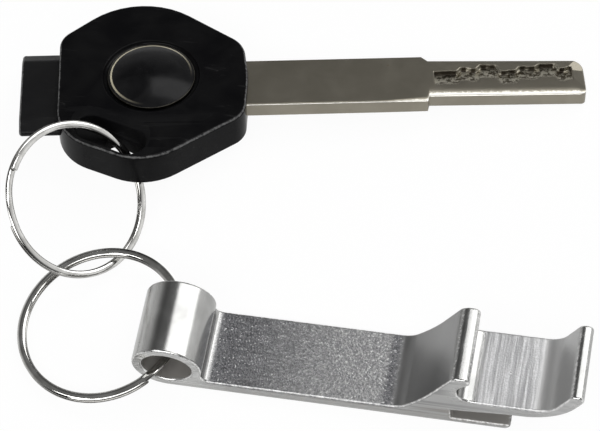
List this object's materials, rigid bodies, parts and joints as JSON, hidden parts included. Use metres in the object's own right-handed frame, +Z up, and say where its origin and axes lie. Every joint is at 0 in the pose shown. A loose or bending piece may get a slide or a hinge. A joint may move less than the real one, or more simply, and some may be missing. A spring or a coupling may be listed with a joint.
{
  "type": "keychain bottle opener",
  "caption": "Extruded aluminium bottle opener with a claw mouth and a can-tab tongue, on two linked split rings with a moulded-head key.",
  "frame": {"origin": "middle of the opener's flat resting face, on the table", "axes": "+X along the opener from its eye to its lip, +Y across it toward the key, +Z up from the table"},
  "size_m": [0.0882, 0.0645, 0.016],
  "materials": {
    "aluminium": "extruded and tumbled, worn bright, with fine scratches",
    "ring_steel": "polished spring steel, nickel plated",
    "head_plastic": "black, moulded, glossy with wear scratches",
    "blade_nickel": "nickel silver, milled",
    "badge_foil": "pale metal foil",
    "badge_resin": "clear-coated black resin dome",
    "block_plastic": "satin black",
    "magnet_nickel": "nickel-plated disc magnets"
  },
  "bodies": {
    "opener": {"opener_body": "aluminium"},
    "opener_ring": {"opener_ring": "ring_steel"},
    "key_ring": {"key_ring": "ring_steel"},
    "key": {"key_head": "head_plastic", "key_blade": "blade_nickel", "badge_plate": "badge_foil", "badge_dome": "badge_resin", "shutter_block": "block_plastic", "shutter_magnets": "magnet_nickel"}
  },
  "joints": [
    {"name": "eye_swing", "type": "hinge", "parent": "opener", "child": "opener_ring", "pos_m": [-0.02319, 0, 0.0049], "axis": [0, 1, 0], "range_deg": [-30, 165]},
    {"name": "ring_link", "type": "hinge", "parent": "opener_ring", "child": "key_ring", "pos_m": [-0.03343, 0.01252, 0.00261], "axis": [-0.9881, 0.0697, -0.1374], "range_deg": [-45, 150]},
    {"name": "key_swing", "type": "hinge", "parent": "key_ring", "child": "key", "pos_m": [-0.03567, 0.02666, 0.00663], "axis": [-0.6132, 0.4121, 0.6739], "range_deg": [-75, 30]}
  ]
}
